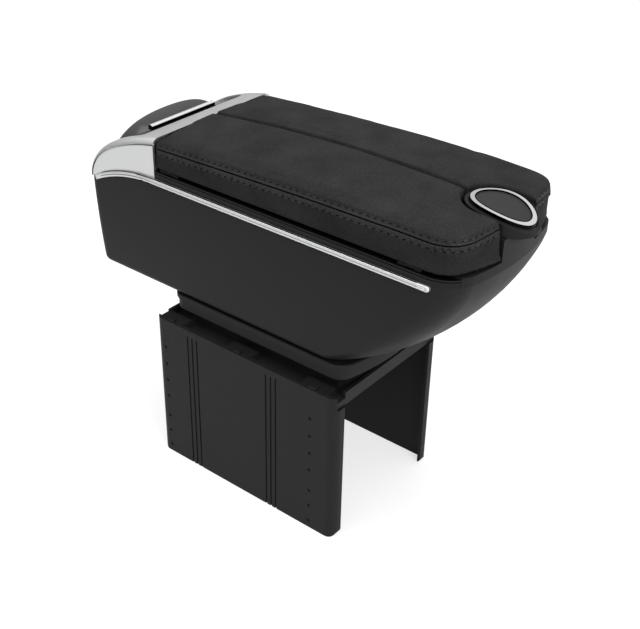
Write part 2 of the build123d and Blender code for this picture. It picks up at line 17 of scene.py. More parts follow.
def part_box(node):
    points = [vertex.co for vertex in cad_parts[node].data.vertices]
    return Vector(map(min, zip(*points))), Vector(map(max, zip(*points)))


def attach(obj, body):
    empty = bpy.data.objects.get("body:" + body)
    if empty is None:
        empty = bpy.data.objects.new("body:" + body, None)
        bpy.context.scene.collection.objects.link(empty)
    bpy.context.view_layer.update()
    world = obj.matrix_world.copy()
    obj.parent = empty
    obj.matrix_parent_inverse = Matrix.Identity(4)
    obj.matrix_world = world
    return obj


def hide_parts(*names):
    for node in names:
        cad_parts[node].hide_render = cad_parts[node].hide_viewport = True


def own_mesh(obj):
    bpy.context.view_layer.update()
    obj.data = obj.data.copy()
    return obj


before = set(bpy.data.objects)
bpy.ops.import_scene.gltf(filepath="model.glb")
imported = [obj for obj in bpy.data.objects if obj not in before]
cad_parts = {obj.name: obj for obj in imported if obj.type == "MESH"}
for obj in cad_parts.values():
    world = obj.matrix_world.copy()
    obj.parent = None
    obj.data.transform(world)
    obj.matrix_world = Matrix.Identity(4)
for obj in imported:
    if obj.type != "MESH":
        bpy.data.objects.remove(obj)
log = logging.getLogger("armrest")

Colour = tuple[float, float, float]
Place = tuple[float, float, float]
Node = bpy.types.Node
Socket = bpy.types.NodeSocket

MM = 0.001
UP = Vector((0.0, 0.0, 1.0))
OVERHEAD = 1.0
TUBE_SIDES = 6

# The range of most noise values, and how round the cells are
NOISE_LOW = 0.3
NOISE_HIGH = 0.7
CELL_SMOOTHNESS = 0.6

# Numbers of the mix node's colour sockets
MIX_FIRST = 6
MIX_SECOND = 7
MIX_RESULT = 2


class Side(Enum):
    """The two doors of the box, by the sign of their Y."""

    RIGHT = -1
    LEFT = 1

    @property
    def word(self) -> str:
        """The side's name as the CAD nodes spell it."""
        return self.name.lower()

    @property
    def body(self) -> str:
        """The CAD body of the side's door."""
        return f"lid_{self.word}"


class Slot(Enum):
    """Names of the record's material slots."""

    BODY = "body_plastic"
    LEATHER = "cover_leather"
    BUTTON = "button_plastic"
    STEEL = "steel"


class StripLine(Enum):
    """The lines along a trim strip, from its lower edge up."""

    LOWER = "lower"
    GROOVE = "groove"
    UPPER = "upper"


class RingEdge(Enum):
    """The two edges of the button's ring."""

    INNER = "inner"
    OUTER = "outer"


class Graph:
    """A material's or the world's node tree while it is put together."""

    def __init__(self, tree: bpy.types.NodeTree) -> None:
        """Start from an empty tree."""
        self.tree = tree
        tree.nodes.clear()

    def add(self, kind: str, inputs: dict[str, object] | None = None, **settings: object) -> Node:
        """Add a node.

        Args:
            kind: Blender's name of the node type.
            inputs: values or output sockets for its inputs, by name or number.
            settings: attributes of the node itself.

        Returns:
            The new node.
        """
        node = self.tree.nodes.new(kind)
        for name, value in settings.items():
            setattr(node, name, value)
        for name, value in (inputs or {}).items():
            self.feed(node.inputs[name], value)
        return node

    def feed(self, socket: Socket, value: object) -> None:
        """Link a socket to an output, or set its value.

        Args:
            socket: the input that is fed.
            value: an output socket, or a plain value.
        """
        if isinstance(value, Socket):
            self.tree.links.new(value, socket)
        else:
            socket.default_value = value

    def place(self) -> Socket:
        """The point's place in the row frame, in metres."""
        return self.add("ShaderNodeTexCoord").outputs["Object"]

    def speckle(self, size: float, detail: float = 2.0) -> Socket:
        """Noise from 0 to 1 whose blobs have about the given size in metres."""
        inputs = {"Vector": self.place(), "Scale": 1.0 / size, "Detail": detail}
        return self.add("ShaderNodeTexNoise", inputs).outputs["Fac"]

    def cells(self, size: float) -> Socket:
        """Rounded cells of about the given size, 0 at their middles."""
        inputs = {"Vector": self.place(), "Scale": 1.0 / size, "Smoothness": CELL_SMOOTHNESS}
        return self.add("ShaderNodeTexVoronoi", inputs, feature="SMOOTH_F1").outputs["Distance"]

    def math(self, operation: str, *values: object) -> Socket:
        """The result of a math node for values or output sockets."""
        return self.add("ShaderNodeMath", dict(enumerate(values)), operation=operation).outputs[0]

    def height(self, vector: Socket) -> Socket:
        """The Z part of a vector."""
        return self.add("ShaderNodeSeparateXYZ", {"Vector": vector}).outputs["Z"]

    def spread(self, value: Socket, low: float, high: float) -> Socket:
        """Stretch a noise value onto a range.

        Args:
            value: the noise.
            low: what its darker blobs become.
            high: what its lighter blobs become.

        Returns:
            The stretched value.
        """
        span = {"From Min": NOISE_LOW, "From Max": NOISE_HIGH, "To Min": low, "To Max": high}
        return self.add("ShaderNodeMapRange", {"Value": value, **span}).outputs["Result"]

    def tones(self, value: Socket, dark: Colour, light: Colour) -> Socket:
        """Mix two tones by a noise value.

        Args:
            value: the noise.
            dark: the tone of its darker blobs.
            light: the tone of its lighter blobs.

        Returns:
            The mixed colour.
        """
        mix = self.add("ShaderNodeMix", data_type="RGBA")
        self.feed(mix.inputs["Factor"], self.spread(value, 0.0, 1.0))
        self.feed(mix.inputs[MIX_FIRST], (*dark, 1.0))
        self.feed(mix.inputs[MIX_SECOND], (*light, 1.0))
        return mix.outputs[MIX_RESULT]

    def relief(
        self, height: Socket, depth: float, under: Socket | None = None
    ) -> Socket:
        """A bumped normal.

        Args:
            height: the height map, 0 to 1.
            depth: the height in metres that 1 stands for.
            under: a normal that this one lies on.

        Returns:
            The normal for the shader.
        """
        bump = self.add("ShaderNodeBump", {"Height": height, "Distance": depth, "Strength": 1.0})
        if under is not None:
            self.feed(bump.inputs["Normal"], under)
        return bump.outputs["Normal"]


@dataclass(frozen=True)
class Finish(ABC):
    """A surface finish with a base colour and a gloss."""

    name: str
    colour: Colour
    roughness: float
    specular: float = 0.3

    def material(self) -> bpy.types.Material:
        """Make the finish's material once.

        Returns:
            The new material, or the one that is there.
        """
        known = bpy.data.materials.get(self.name)
        if known is not None:
            return known
        made = bpy.data.materials.new(self.name)
        made.use_nodes = True
        graph = Graph(made.node_tree)
        shader = graph.add("ShaderNodeBsdfPrincipled")
        shader.inputs["Specular IOR Level"].default_value = self.specular
        output = graph.add("ShaderNodeOutputMaterial")
        graph.feed(output.inputs["Surface"], shader.outputs["BSDF"])
        self.dress(graph, shader)
        return made

    def shade(self, factor: float) -> Colour:
        """The finish's colour, made lighter or darker."""
        return tuple(min(1.0, c * factor) for c in self.colour)

    @abstractmethod
    def dress(self, graph: Graph, shader: Node) -> None:
        """Give the shader its colour, gloss and grain."""


@dataclass(frozen=True)
class MouldedPlastic(Finish):
    """Moulded plastic with a fine spark-eroded grain and faint rubbed patches."""

    grain: float = 0.5 * MM
    depth: float = 0.02 * MM
    fine_grain: float = 0.45
    fine_depth: float = 0.5
    mottle: float = 0.12
    patch: float = 35.0 * MM
    patch_detail: float = 4.0
    gloss_swing: float = 0.04
    coat: float = 0.0
    coat_roughness: float = 0.06

    def dress(self, graph: Graph, shader: Node) -> None:
        """Mottled colour, patchy gloss and a pebbled grain.

        Args:
            graph: the material's nodes.
            shader: the shader to dress.
        """
        patches = graph.speckle(self.patch, self.patch_detail)
        tones = graph.tones(patches, self.shade(1.0 - self.mottle), self.shade(1.0 + self.mottle))
        graph.feed(shader.inputs["Base Color"], tones)
        gloss = graph.spread(patches, self.roughness - self.gloss_swing, self.roughness + self.gloss_swing)
        graph.feed(shader.inputs["Roughness"], gloss)
        pebbles = graph.relief(graph.cells(self.grain), self.depth)
        specks = graph.speckle(self.grain * self.fine_grain)
        fine = graph.relief(specks, self.depth * self.fine_depth, pebbles)
        graph.feed(shader.inputs["Normal"], fine)
        shader.inputs["Coat Weight"].default_value = self.coat
        shader.inputs["Coat Roughness"].default_value = self.coat_roughness


@dataclass(frozen=True)
class KnuckleShadedPlastic(MouldedPlastic):
    """Moulded plastic painted black above a level, as painted shade on the hinge knuckles that stand in the
    dark gap under the doors.
    """

    level: float = 0.0
    knuckle_shade: Colour = (0.0005, 0.0005, 0.0005)

    def dress(self, graph: Graph, shader: Node) -> None:
        """The plastic's look with painted shade, black, above the level.

        Args:
            graph: the material's nodes.
            shader: the shader to dress.
        """
        super().dress(graph, shader)
        # Painted shade: everything above the level is black, so the knuckles vanish into the gap's shadow.
        over = graph.math("GREATER_THAN", graph.height(graph.place()), self.level)
        graph.feed(shader.inputs["Base Color"], graph.tones(over, self.colour, self.knuckle_shade))


@dataclass(frozen=True)
class PolishedMetal(Finish):
    """Plated or polished metal with faint wipe marks."""

    wipe: float = 0.02
    mark: float = 14.0 * MM
    mark_detail: float = 5.0
    mark_tone: float = 0.96
    peel: float = 6.0 * MM
    peel_detail: float = 1.0
    peel_depth: float = 0.004 * MM

    def dress(self, graph: Graph, shader: Node) -> None:
        """Metal whose tone and gloss vary a little.

        Args:
            graph: the material's nodes.
            shader: the shader to dress.
        """
        marks = graph.speckle(self.mark, self.mark_detail)
        graph.feed(shader.inputs["Base Color"], graph.tones(marks, self.shade(self.mark_tone), self.colour))
        shader.inputs["Metallic"].default_value = 1.0
        gloss = graph.spread(marks, self.roughness, self.roughness + self.wipe)
        graph.feed(shader.inputs["Roughness"], gloss)
        waves = graph.speckle(self.peel, self.peel_detail)
        graph.feed(shader.inputs["Normal"], graph.relief(waves, self.peel_depth))


@dataclass(frozen=True)
class GrooveShadedMetal(PolishedMetal):
    """Polished metal with painted shade in its grooves and in the gaps next to other parts."""

    shade_reach: float = 3.0 * MM
    shade_tone: float = 0.04

    def dress(self, graph: Graph, shader: Node) -> None:
        """The metal's look with painted shade where little light gets in.

        Args:
            graph: the material's nodes.
            shader: the shader to dress.
        """
        super().dress(graph, shader)
        # Painted shade: the base colour goes dark where the ambient occlusion node finds other surfaces
        # close by.
        openness = graph.add("ShaderNodeAmbientOcclusion", {"Distance": self.shade_reach}).outputs["AO"]
        tones = graph.tones(openness, self.shade(self.shade_tone), self.colour)
        graph.feed(shader.inputs["Base Color"], tones)


@dataclass(frozen=True)
class SideReflectionMetal(PolishedMetal):
    """Polished metal on what faces up, and a painted dark reflection and shade on the sides."""

    side_reflection_tone: Colour = (0.006, 0.006, 0.006)
    slope: float = 0.55

    def dress(self, graph: Graph, shader: Node) -> None:
        """Bright where the surface faces up, and a painted dark reflection and shade elsewhere.

        Args:
            graph: the material's nodes.
            shader: the shader to dress.
        """
        super().dress(graph, shader)
        # Painted reflection and shade: faces that turn away from up get a near-black colour.
        way = graph.add("ShaderNodeTexCoord").outputs["Normal"]
        over = graph.math("GREATER_THAN", graph.height(way), self.slope)
        graph.feed(shader.inputs["Base Color"], graph.tones(over, self.side_reflection_tone, self.colour))


@dataclass(frozen=True)
class Leather(Finish):
    """Coated leathercloth with a fine pebbled grain and soft creases."""

    grain: float = 1.1 * MM
    depth: float = 0.11 * MM
    fine_grain: float = 0.4
    fine_depth: float = 0.4
    crease: float = 4.5 * MM
    crease_detail: float = 3.0
    crease_depth: float = 1.2
    patch: float = 24.0 * MM
    patch_detail: float = 5.0
    weave: float = 1.5 * MM
    weave_detail: float = 4.0
    tone_swing: float = 0.4
    gloss_patch: float = 2.2 * MM
    gloss_detail: float = 3.0
    gloss_swing: float = 0.06

    def dress(self, graph: Graph, shader: Node) -> None:
        """Grain in three sizes, a worn tone on the patches and a dry gloss.

        Args:
            graph: the material's nodes.
            shader: the shader to dress.
        """
        patches = graph.speckle(self.patch, self.patch_detail)
        both = graph.math("ADD", patches, graph.speckle(self.weave, self.weave_detail))
        mean = graph.math("MULTIPLY", both, 0.5)
        tones = graph.tones(mean, self.shade(1.0 - self.tone_swing), self.shade(1.0 + self.tone_swing))
        graph.feed(shader.inputs["Base Color"], tones)
        rubbed = graph.speckle(self.gloss_patch, self.gloss_detail)
        gloss = graph.spread(rubbed, self.roughness - self.gloss_swing, self.roughness + self.gloss_swing)
        graph.feed(shader.inputs["Roughness"], gloss)
        creases = graph.speckle(self.crease, self.crease_detail)
        folds = graph.relief(creases, self.depth * self.crease_depth)
        pebbles = graph.relief(graph.cells(self.grain), self.depth, folds)
        specks = graph.speckle(self.grain * self.fine_grain)
        fine = graph.relief(specks, self.depth * self.fine_depth, pebbles)
        graph.feed(shader.inputs["Normal"], fine)


@dataclass(frozen=True)
class DullLine(Finish):
    """A matt line with fine fibres: thread, or a dark line laid in a gap or groove as painted shade."""

    fibre: float = 0.25 * MM
    fibre_detail: float = 3.0
    fibre_depth: float = 0.05 * MM
    tone_swing: float = 0.3

    def dress(self, graph: Graph, shader: Node) -> None:
        """Colour with fine fibres.

        Args:
            graph: the material's nodes.
            shader: the shader to dress.
        """
        fibres = graph.speckle(self.fibre, self.fibre_detail)
        tones = graph.tones(fibres, self.shade(1.0 - self.tone_swing), self.shade(1.0 + self.tone_swing))
        graph.feed(shader.inputs["Base Color"], tones)
        shader.inputs["Roughness"].default_value = self.roughness
        graph.feed(shader.inputs["Normal"], graph.relief(fibres, self.fibre_depth))


BOX_TONE = (0.0115, 0.0112, 0.0118)
SILVER_TONE = (0.93, 0.935, 0.94)
KNUCKLE_LEVEL = 268.0 * MM

SATIN_BLACK = MouldedPlastic("satin_black", BOX_TONE, 0.46, 0.22)
# The rim's black plastic, with painted shade on the hinge knuckles above the level.
RIM_BLACK = KnuckleShadedPlastic("rim_black", BOX_TONE, 0.46, 0.22, level=KNUCKLE_LEVEL)
BRACKET_BLACK = MouldedPlastic("bracket_black", (0.014, 0.0137, 0.0143), 0.5, 0.24, grain=0.7 * MM)
# The doors' plates: black plastic, made darker and duller than the box as painted shade in the gap under the
# pads.
PLATE_SHADE_BLACK = MouldedPlastic("plate_shade_black", (0.007, 0.007, 0.0073), 0.62, 0.14, grain=0.8 * MM)
INNER_BLACK = MouldedPlastic("inner_black", (0.01, 0.01, 0.0105), 0.6, 0.25)
COVER_GREY = MouldedPlastic("cover_grey", (0.022, 0.022, 0.023), 0.3, 0.45, coat=0.25, depth=0.006 * MM)
BUTTON_GREY = MouldedPlastic("button_grey", (0.026, 0.026, 0.027), 0.42, 0.2, depth=0.01 * MM)
CHROME = PolishedMetal("chrome", SILVER_TONE, 0.42)
# The button ring's chrome, with its sides painted dark as reflection and shade.
SIDE_REFLECTION_CHROME = SideReflectionMetal("side_reflection_chrome", (0.87, 0.88, 0.89), 0.1)
# The pull bar's silver, with its sides painted dark as reflection and shade.
SIDE_REFLECTION_SILVER = SideReflectionMetal("side_reflection_silver", SILVER_TONE, 0.4, slope=0.3)
# The hood's satin silver, with painted shade in its grooves and gaps.
SATIN_SILVER = GrooveShadedMetal("satin_silver", (0.88, 0.885, 0.89), 0.4, wipe=0.03)
STEEL = PolishedMetal("plain_steel", (0.52, 0.52, 0.53), 0.28, wipe=0.08)
CHARCOAL_LEATHER = Leather("charcoal_leather", (0.023, 0.0226, 0.0232), 0.62, 0.08)
# The sewn band's leather: glossier than the top's, and a little lighter as a painted highlight on the rolled
# edges.
ROLLED_LEATHER = Leather("rolled_leather", (0.025, 0.0246, 0.0252), 0.45, 0.2)
BLACK_THREAD = DullLine("black_thread", (0.003, 0.003, 0.003), 0.8, 0.06)
# Painted shade: near-black lines in the gaps and the seam's fold, and a grey one in the strip's groove.
GAP_SHADE = DullLine("gap_shade", (0.001, 0.001, 0.001), 0.9, 0.02)
GROOVE_SHADE = DullLine("groove_shade", (0.3, 0.3, 0.305), 0.6, 0.2)


def paint(node: str, finish: Finish) -> None:
    """Give a CAD node a finish.

    Args:
        node: the node's name.
        finish: its finish.
    """
    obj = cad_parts[node]
    obj.data.materials.clear()
    obj.data.materials.append(finish.material())
    log.info("dressed %s in %s", node, finish.name)


def add_mesh(name: str, mesh: bmesh.types.BMesh, finish: Finish) -> bpy.types.Object:
    """Turn a bmesh into a smooth-shaded object of the scene.

    Args:
        name: the object's name.
        mesh: the mesh, which is freed.
        finish: its finish.

    Returns:
        The new object.
    """
    data = bpy.data.meshes.new(name)
    for face in mesh.faces:
        face.smooth = True
    mesh.to_mesh(data)
    mesh.free()
    data.materials.append(finish.material())
    made = bpy.data.objects.new(name, data)
    bpy.context.scene.collection.objects.link(made)
    return made


def baked(obj: bpy.types.Object) -> bpy.types.Mesh:
    """The object's mesh with its modifiers applied."""
    graph = bpy.context.evaluated_depsgraph_get()
    return bpy.data.meshes.new_from_object(obj.evaluated_get(graph))


def points_of(mesh: bpy.types.Mesh) -> np.ndarray:
    """Read the mesh's vertices.

    Args:
        mesh: the mesh.

    Returns:
        Their places as an array of rows.
    """
    flat = np.empty(len(mesh.vertices) * 3)
    mesh.vertices.foreach_get("co", flat)
    return flat.reshape(-1, 3)


def normals_of(mesh: bpy.types.Mesh) -> np.ndarray:
    """Read the vertices' normals.

    Args:
        mesh: the mesh.

    Returns:
        The normals as an array of rows.
    """
    flat = np.empty(len(mesh.vertices) * 3)
    mesh.vertex_normals.foreach_get("vector", flat)
    return flat.reshape(-1, 3)


def move_points(mesh: bpy.types.Mesh, points: np.ndarray) -> None:
    """Write an array of rows back to the mesh's vertices."""
    mesh.vertices.foreach_set("co", points.ravel())
    mesh.update()


def tree_of(mesh: bpy.types.Mesh) -> BVHTree:
    """A search tree over the mesh's faces."""
    return BVHTree.FromPolygons([v.co for v in mesh.vertices], [p.vertices for p in mesh.polygons])


def add_ring(
    mesh: bmesh.types.BMesh, middle: Vector, across: Vector, rise: Vector, radius: float
) -> list[bmesh.types.BMVert]:
    """Add one ring of vertices of a slim round line.

    Args:
        mesh: the mesh that takes the ring.
        middle: the ring's middle.
        across: the ring's first axis.
        rise: the ring's second axis.
        radius: the ring's radius.

    Returns:
        The ring's vertices in order.
    """
    turns = [2.0 * math.pi * turn / TUBE_SIDES for turn in range(TUBE_SIDES)]
    ways = [across * math.cos(angle) + rise * math.sin(angle) for angle in turns]
    return [mesh.verts.new(middle + way * radius) for way in ways]


def skin_rings(mesh: bmesh.types.BMesh, rings: list[list[bmesh.types.BMVert]], closed: bool) -> None:
    """Join rings of vertices into a tube.

    Args:
        mesh: the mesh that takes the faces.
        rings: the rings, all of one length and in order.
        closed: whether the last ring joins the first; else both ends are capped.
    """
    size = len(rings[0])
    faces = []
    following = rings[1:] + rings[:1] if closed else rings[1:]
    for first, second in zip(rings, following):
        for k in range(size):
            after = (k + 1) % size
            faces.append(mesh.faces.new((first[k], first[after], second[after], second[k])))
    if not closed:
        faces.append(mesh.faces.new(rings[0][::-1]))
        faces.append(mesh.faces.new(rings[-1]))
    bmesh.ops.recalc_face_normals(mesh, faces=faces)


def tube(
    name: str, path: list[Vector], radius: float, finish: Finish, closed: bool = False
) -> bpy.types.Object:
    """A slim round line along a path that is nowhere upright.

    Args:
        name: the object's name.
        path: its middle points.
        radius: its radius.
        finish: its finish.
        closed: whether the path runs back to its start.

    Returns:
        The new object.
    """
    mesh = bmesh.new()
    rings = []
    last = len(path) - 1
    for k, middle in enumerate(path):
        after = path[(k + 1) % len(path)] if closed else path[min(k + 1, last)]
        before = path[k - 1] if closed else path[max(k - 1, 0)]
        across = (after - before).cross(UP).normalized()
        rise = across.cross(after - before).normalized()
        rings.append(add_ring(mesh, middle, across, rise, radius))
    skin_rings(mesh, rings, closed)
    return add_mesh(name, mesh, finish)


@dataclass(frozen=True)
class Softbox:
    """A square lamp that looks at the object's middle."""

    name: str
    place: Place
    size: float
    power: float
    target: Place = (0.0, 0.0, 0.2)

    def build(self) -> None:
        """Hang the lamp."""
        data = bpy.data.lights.new(self.name, "AREA")
        data.size = self.size
        data.energy = self.power
        lamp = bpy.data.objects.new(self.name, data)
        lamp.location = self.place
        aim = Vector(self.target) - Vector(self.place)
        lamp.rotation_mode = "QUATERNION"
        lamp.rotation_quaternion = aim.to_track_quat("-Z", "Y")
        bpy.context.scene.collection.objects.link(lamp)


@dataclass
class Studio:
    """Floor, soft lights, white surroundings and the photograph's camera."""

    place: Place = (0.47053, -0.60037, 0.62143)
    right: Place = (0.78199, 0.62301, 0.01862)
    up: Place = (-0.33965, 0.40089, 0.85084)
    back: Place = (0.52262, -0.67167, 0.52509)
    lens: float = 62.395
    sensor: float = 36.0
    floor_size: float = 12.0
    floor_tone: float = 0.45
    floor_glow: float = 0.66
    floor_shine: float = 0.25
    horizon: float = 0.08
    horizon_z: float = -0.05
    zenith: float = 0.95
    zenith_z: float = 0.75
    lamps: tuple[Softbox, ...] = (
        Softbox("key_softbox", (0.1, -0.2, 1.9), 1.4, 14.0),
        Softbox("front_softbox", (1.6, -0.6, 1.2), 1.0, 15.0),
        Softbox("side_softbox", (-0.6, -1.7, 0.7), 1.0, 0.6),
    )

    def build(self) -> None:
        """Make everything round the object."""
        self.camera()
        self.floor()
        self.surroundings()
        for lamp in self.lamps:
            lamp.build()

    def camera(self) -> None:
        """The camera at the photograph's viewing angle."""
        data = bpy.data.cameras.new("photo_camera")
        data.lens = self.lens
        data.sensor_width = self.sensor
        camera = bpy.data.objects.new("photo_camera", data)
        axes = Matrix((self.right, self.up, self.back)).transposed()
        camera.matrix_world = Matrix.Translation(Vector(self.place)) @ axes.to_4x4()
        bpy.context.scene.collection.objects.link(camera)
        bpy.context.scene.camera = camera

    def floor(self) -> None:
        """A white floor that keeps the object's shadow."""
        mesh = bmesh.new()
        bmesh.ops.create_grid(mesh, x_segments=1, y_segments=1, size=self.floor_size / 2)
        data = bpy.data.meshes.new("studio_floor")
        mesh.to_mesh(data)
        mesh.free()
        made = bpy.data.materials.new("studio_floor")
        made.use_nodes = True
        graph = Graph(made.node_tree)
        tone = self.floor_tone
        matt = graph.add("ShaderNodeBsdfDiffuse", {"Color": (tone, tone, tone, 1.0)})
        path = graph.add("ShaderNodeLightPath")
        seen = graph.math("MULTIPLY", path.outputs["Is Camera Ray"], self.floor_glow)
        lift = graph.math("MULTIPLY_ADD", path.outputs["Is Glossy Ray"], self.floor_shine, seen)
        glow = graph.add("ShaderNodeEmission", {"Color": (1.0, 1.0, 1.0, 1.0), "Strength": lift})
        total = graph.add("ShaderNodeAddShader", {0: matt.outputs[0], 1: glow.outputs[0]})
        graph.add("ShaderNodeOutputMaterial", {"Surface": total.outputs[0]})
        data.materials.append(made)
        floor = bpy.data.objects.new("studio_floor", data)
        bpy.context.scene.collection.objects.link(floor)

    def surroundings(self) -> None:
        """A sky that is bright overhead and dim at the horizon, and white to the camera."""
        world = bpy.data.worlds.new("studio_world")
        world.use_nodes = True
        graph = Graph(world.node_tree)
        height = graph.height(graph.add("ShaderNodeTexCoord").outputs["Generated"])
        span = {"From Min": self.horizon_z, "From Max": self.zenith_z}
        light = {"To Min": self.horizon, "To Max": self.zenith}
        sky = graph.add("ShaderNodeMapRange", {"Value": height, **span, **light}).outputs["Result"]
        path = graph.add("ShaderNodeLightPath")
        white = {"Value": path.outputs["Is Camera Ray"], "To Min": sky, "To Max": 1.0}
        strength = graph.add("ShaderNodeMapRange", white).outputs["Result"]
        background = graph.add("ShaderNodeBackground", {"Color": (1.0, 1.0, 1.0, 1.0), "Strength": strength})
        graph.add("ShaderNodeOutputWorld", {"Surface": background.outputs[0]})
        bpy.context.scene.world = world


@dataclass
class SaddleBracket:
    """The two hooked panels, their top plate and the riser."""

    mouldings: tuple[str, ...] = (
        "bracket_panel_right",
        "bracket_panel_left",
        "bracket_top_plate",
        "riser_plate",
    )

    def build(self) -> None:
        """Dress the bracket's mouldings and screws."""
        for node in self.mouldings:
            paint(node, BRACKET_BLACK)
        paint("bracket_screws", STEEL)


@dataclass
class StorageBox:
    """The box moulding with its rim, front lip and chrome strips."""

    mouldings: tuple[str, ...] = ("box_body", "front_panel")
    line_step: float = 3.0 * MM
    line_fine: float = 0.15 * MM
    line_end: float = 2.5 * MM
    line_blur: int = 2
    edge_line_r: float = 0.42 * MM
    groove_line_r: float = 0.3 * MM

    def build(self) -> None:
        """Dress the box and its trim."""
        for node in self.mouldings:
            paint(node, SATIN_BLACK)
        paint("top_frame", RIM_BLACK)
        for side in Side:
            paint(f"chrome_strip_{side.word}", CHROME)
            self.strip_lines(side)
            paint(f"lid_{side.word}_hinge_pins", STEEL)
        paint("box_screws", STEEL)

    def strip_lines(self, side: Side) -> None:
        """Draw shadow lines along a strip's two edges and the groove in its face.

        Args:
            side: the side that the strip is on.
        """
        strip = f"chrome_strip_{side.word}"
        blur = self.line_blur
        for line, traced in self.feel_strip(strip, side).items():
            groove = line is StripLine.GROOVE
            # Painted shade: black lines along the strip's edges, a grey one in its groove.
            finish = GROOVE_SHADE if groove else GAP_SHADE
            radius = self.groove_line_r if groove else self.edge_line_r
            inner = range(blur, len(traced) - blur)
            path = [sum(traced[k - blur : k + blur + 1], Vector()) / (2 * blur + 1) for k in inner]
            made = tube(f"{strip}_{line.value}_line", path, radius, finish)
            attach(made, "base")
            log.info("lined %s", made.name)

    def feel_strip(self, strip: str, side: Side) -> dict[StripLine, list[Vector]]:
        """Feel a strip's face out by rays from its side.

        Args:
            strip: the strip's node.
            side: the side that the strip is on.

        Returns:
            The points of each line, from the rear to the front.
        """
        tree = tree_of(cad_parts[strip].data)
        low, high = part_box(strip)
        outside = 2.0 * max(abs(low.y), abs(high.y))
        inward = Vector((0.0, -side.value, 0.0))
        lines = {line: [] for line in StripLine}
        for x in np.arange(low.x + self.line_end, high.x - self.line_end, self.line_step):
            heights = np.arange(low.z, high.z, self.line_fine)
            hits = [tree.ray_cast(Vector((x, side.value * outside, z)), inward)[0] for z in heights]
            met = [hit for hit in hits if hit is not None]
            lines[StripLine.LOWER].append(met[0])
            lines[StripLine.GROOVE].append(met[len(met) // 2])
            lines[StripLine.UPPER].append(met[-1])
        return lines


@dataclass
class ReleaseButton:
    """The oval push button on its post."""

    turns: int = 96
    search: float = 0.1 * MM
    line_r: float = 0.32 * MM
    line_inset: float = 0.2 * MM
    travel: float = 3.0 * MM

    def build(self) -> None:
        """Dress bezel, ring, plate and spring."""
        for edge in RingEdge:
            self.gap_line(edge)
        paint("button_bezel", SATIN_BLACK)
        paint("button_ring", SIDE_REFLECTION_CHROME)
        paint("button_cap", BUTTON_GREY)
        self.spring()

    def gap_line(self, edge: RingEdge) -> None:
        """Draw a dark line of painted shade along an edge of the ring, as seen from above.

        Args:
            edge: the edge, searched from the ring's middle outward or from outside inward.
        """
        tree = tree_of(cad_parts["button_ring"].data)
        low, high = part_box("button_ring")
        middle = (low + high) / 2.0
        outward = edge is RingEdge.INNER
        steps = np.arange(0.0, (high - low).length, self.search)
        inset = self.line_inset if outward else -self.line_inset
        line = []
        for angle in np.linspace(0.0, 2.0 * math.pi, self.turns, endpoint=False):
            way = Vector((math.cos(angle), math.sin(angle), 0.0))
            for out in steps if outward else steps[::-1]:
                start = Vector((middle.x, middle.y, OVERHEAD)) + way * out
                if tree.ray_cast(start, -UP)[0] is not None:
                    line.append(tree.ray_cast(start + way * inset, -UP)[0])
                    break
        made = tube(f"button_ring_{edge.value}_line", line, self.line_r, GAP_SHADE, closed=True)
        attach(made, "release_button")
        log.info("lined %s", made.name)

    def spring(self) -> None:
        """A copy of the return spring, riding on the base."""
        coil = bpy.data.objects.new("button_coil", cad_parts["button_spring"].data.copy())
        coil.data.materials.clear()
        coil.data.materials.append(STEEL.material())
        bpy.context.scene.collection.objects.link(coil)
        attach(coil, "base")
        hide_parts("button_spring")
        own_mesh(coil)
        log.info("coiled %s", coil.name)


@dataclass
class RearHood:
    """The silver hood with the ashtray's cover, pull bar and cup."""

    def build(self) -> None:
        """Dress the hood and what it holds."""
        paint("rear_cap", SATIN_SILVER)
        paint("ashtray_lid", COVER_GREY)
        paint("ashtray_handle", SIDE_REFLECTION_SILVER)
        paint("ashtray_hinge_pin", STEEL)
        paint("ashtray_cup", INNER_BLACK)


